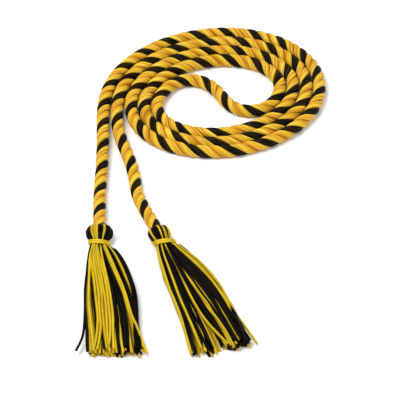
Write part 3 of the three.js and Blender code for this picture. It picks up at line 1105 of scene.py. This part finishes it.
def strand_finish(name, colours, roughness, gloss):
    """Spun rayon on a strand. Colours: painted shade and bounce light in the groove, a ramp of painted
    bounce light from the pale edge over the middle to the orange edge, dark thread, and paler thread with
    a painted highlight.
    """
    finish = Finish(name)
    # Depth is the share of painted groove shade: 0 on the crest, 1 deep between two strands.
    depth = finish.node("ShaderNodeMapRange", {"interpolation_type": "SMOOTHSTEP"}, {
        "Value": finish.attribute("proud"), "From Min": CREST_PROUD, "From Max": GROOVE_PROUD})
    toward = finish.attribute("toward") * 0.5 + 0.5
    stops = [
        (PALE_PLACE, colours["pale"]),
        (MIDDLE_PLACE, colours["middle"]),
        (ORANGE_PLACE, colours["orange_bounce"]),
    ]
    # The outside colour is painted bounce light across the strand, from the pale edge over the middle to
    # the orange edge.
    outside = finish.node("ShaderNodeValToRGB", {"stops": stops}, {"Fac": toward})
    coarse = finish.streaks(*COARSE_LINES, STRAND_DETAIL)
    fine = finish.streaks(*FINE_LINES, STRAND_DETAIL)
    lines = coarse * COARSE_SHARE + fine * FINE_SHARE
    dark_share = finish.node("ShaderNodeMapRange", None, {
        "Value": lines, "From Min": EVEN_LINE, "From Max": DARKEST_LINE})
    pale_thread_and_highlight_share = finish.node("ShaderNodeMapRange", None, {
        "Value": lines, "From Min": EVEN_LINE, "From Max": BRIGHTEST_LINE})
    # Dark lines darken the thread; paler lines lighten it and also carry a painted highlight.
    streaked_and_highlit = finish.mix(dark_share * STREAK_STRENGTH, outside, colours["dark"])
    streaked_and_highlit = finish.mix(pale_thread_and_highlight_share * STREAK_STRENGTH, streaked_and_highlit, colours["pale_thread_and_highlight"])
    # Painted shade and bounce light deep in the groove, strongest at the edge where the gold strands meet.
    colour = finish.mix(depth * toward, streaked_and_highlit, colours["groove"])
    bump = finish.node("ShaderNodeBump", None, STRAND_RELIEF | {"Height": lines})
    finish.fill(finish.shader, {
        "Base Color": colour,
        "Roughness": finish.scaled(pale_thread_and_highlight_share, roughness + DULLER, roughness - STRAND_SHINIER),
        "Normal": bump,
        "Specular IOR Level": gloss,
    })
    return finish.material


# The groove colour is painted shade and bounce light, the orange edge is painted bounce light, and the
# bright thread is a paler thread tone with a painted highlight.
gold_strand_finish = strand_finish("gold strand", {
    "groove": (0.36, 0.14, 0.001, 1),
    "pale": (0.74, 0.47, 0.03, 1),
    "middle": (0.64, 0.36, 0.006, 1),
    "orange_bounce": (0.56, 0.24, 0.001, 1),
    "dark": (0.33, 0.15, 0.001, 1),
    "pale_thread_and_highlight": (0.9, 0.62, 0.08, 1),
}, 0.44, 0.16)
# On the black strand the groove colour is painted shade, its paler edges are painted bounce light, and the
# bright thread is a painted highlight.
black_strand_finish = strand_finish("black strand", {
    "groove": (0.002, 0.001, 0.0005, 1),
    "pale": (0.008, 0.004, 0.001, 1),
    "middle": (0.004, 0.002, 0.001, 1),
    "orange_bounce": (0.008, 0.004, 0.001, 1),
    "dark": (0.002, 0.001, 0.0005, 1),
    "pale_thread_and_highlight": (0.035, 0.02, 0.004, 1),
}, 0.42, 0.05)
print("made the finishes", gold_strand_finish.name, "and", black_strand_finish.name)

# %% [markdown]
# The tassel yarns are the same rayon, less twisted and so smoother, in a clearer yellow. Each
# yarn has a number called shade, so that no two ends have quite the same colour. A material for
# each end would do that too, but one material that reads the number is far less to keep.

# %% Finish of the yarns
YARN_LINES = (9, 0.7)
YARN_DETAIL = 3.0
DARKEST_YARN_LINE = 0.34
PALEST_YARN_LINE = 0.66
LINE_SHARE = 0.6
SHADE_SHARE = 0.4
YARN_RELIEF = {"Strength": 0.5, "Distance": 0.00015}
YARN_SHINIER = 0.08


def yarn_finish(name, deep, pale, roughness, gloss):
    """Smooth rayon yarn, from its deepest to its palest shade."""
    finish = Finish(name)
    shade = finish.attribute("shade")
    fine = finish.streaks(*YARN_LINES, YARN_DETAIL)
    spread = finish.node("ShaderNodeMapRange", None, {
        "Value": fine, "From Min": DARKEST_YARN_LINE, "From Max": PALEST_YARN_LINE})
    colour = finish.mix(spread * LINE_SHARE + shade * SHADE_SHARE, deep, pale)
    bump = finish.node("ShaderNodeBump", None, YARN_RELIEF | {"Height": fine})
    finish.fill(finish.shader, {
        "Base Color": colour,
        "Roughness": finish.scaled(spread, roughness + DULLER, roughness - YARN_SHINIER),
        "Normal": bump,
        "Specular IOR Level": gloss,
    })
    return finish.material


gold_yarn_finish = yarn_finish("gold yarn", (0.37, 0.22, 0.001, 1), (0.68, 0.495, 0.012, 1), 0.38, 0.16)
black_yarn_finish = yarn_finish(
    "black yarn", (0.001, 0.0006, 0.0003, 1), (0.006, 0.004, 0.001, 1), 0.28, 0.05)
print("made the finishes", gold_yarn_finish.name, "and", black_yarn_finish.name)

# %% [markdown]
# A tie has no tubes made by the helper, so it gets its yarn lines from its own UV map, and its
# shade from a number that is the same all over it.

# %% Give the ties their map
TIE_SHADE = 0.6


def map_tie(tie, own):
    """A UV map round and along the wraps, and one shade for the whole tie."""
    tie.data.attributes.new("shade", "FLOAT", "POINT").data.foreach_set(
        "value", np.full(len(tie.data.vertices), TIE_SHADE))
    layer = tie.data.uv_layers.new(name="UVMap")
    origin = Vector(own["origin"])
    for loop in tie.data.loops:
        point = tie.data.vertices[loop.vertex_index].co / MM - origin
        around = math.atan2(point.dot(Vector(own["side"])), point.z - HEAD_AXIS)
        layer.data[loop.index].uv = (point.dot(Vector(own["along"])) / TIE_YARN, around)


map_tie(left_wraps, left_frame)
map_tie(right_wraps, right_frame)
print("mapped", len(left_wraps.data.loops) + len(right_wraps.data.loops), "corners of the ties")

# %% [markdown]
# A piece is dressed in three steps: it gets its finish, it rides on the body that it belongs
# to, and it takes the place of the plain solid that stood for it. Nothing on a cord moves on a
# hinge, so every piece rides on the one body.

# %% Dress the pieces
DRESSED = [
    (black_strand, black_strand_finish, "black_strand", ("cord",)),
    (gold_strands[0], gold_strand_finish, "gold_strand", ("cord",)),
    (gold_strands[1], gold_strand_finish, "gold_strand", ("cord",)),
    (left_gold, gold_yarn_finish, "gold_yarn", ("left_tassel",)),
    (left_black, black_yarn_finish, "black_yarn", ("left_tassel",)),
    (right_gold, gold_yarn_finish, "gold_yarn", ("right_tassel",)),
    (right_black, black_yarn_finish, "black_yarn", ("right_tassel",)),
    (left_wraps, gold_yarn_finish, "gold_yarn", ("left_tie",)),
    (right_wraps, gold_yarn_finish, "gold_yarn", ("right_tie",)),
]
for piece, material, slot, nodes in DRESSED:
    piece.data.materials.clear()
    piece.data.materials.append(material)
    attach(piece, "root")
    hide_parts(*nodes)
print("dressed", len(DRESSED), "pieces")

# %% [markdown]
# The rope is a limp cord of its real length that leaves one tassel's head and goes into the
# other's.

print("declared a cord of", round(rope_length / 1000, 3), "m")

# %% [markdown]
# ## Table and light
#
# The cord lies on a plain, nearly white table. The light is soft and comes from all round, as
# in a light tent, with a larger lamp at the upper left that gives the rope its roundness.

# %% Table
TABLE_HALF = 6.0
TABLE_GRAIN = {"Scale": 9.0, "Detail": 2.0}
TABLE_ROUGHNESS = 0.9

bpy.ops.object.select_all(action="DESELECT")
bpy.ops.mesh.primitive_plane_add(size=2 * TABLE_HALF, location=(0, 0, 0))
table = bpy.context.object
table.name = "table"
table_finish = Finish("table")
grain = table_finish.node("ShaderNodeTexNoise", None, TABLE_GRAIN)
table_colour = table_finish.mix(grain, (0.94, 0.94, 0.94, 1), (0.96, 0.96, 0.96, 1))
table_finish.fill(table_finish.shader, {"Base Color": table_colour, "Roughness": TABLE_ROUGHNESS})
table.data.materials.append(table_finish.material)
print("table", 2 * TABLE_HALF, "m wide")

# %% Light
LAMPS = [
    ("key", (-0.5, -0.2, 1.1), 0.7, 13.0),
    ("fill", (0.9, -0.5, 0.8), 1.0, 6.0),
    ("back", (0.1, 1.1, 0.7), 0.9, 4.0),
]
SKY_STRENGTH = 0.45

for name, place, size, power in LAMPS:
    lamp_data = bpy.data.lights.new(name, "AREA")
    lamp_data.size = size
    lamp_data.energy = power
    lamp = bpy.data.objects.new(name, lamp_data)
    lamp.location = place
    lamp.rotation_euler = (-Vector(place)).to_track_quat("-Z", "Y").to_euler()
    bpy.context.scene.collection.objects.link(lamp)

sky = bpy.data.worlds.new("sky")
sky.use_nodes = True
sky.node_tree.nodes["Background"].inputs["Color"].default_value = (1, 1, 1, 1)
sky.node_tree.nodes["Background"].inputs["Strength"].default_value = SKY_STRENGTH
bpy.context.scene.world = sky
bpy.context.scene.view_settings.view_transform = "Standard"
print(len(LAMPS), "lamps and a pale sky")

# %% [markdown]

# %% Finish
print("the scene is built")
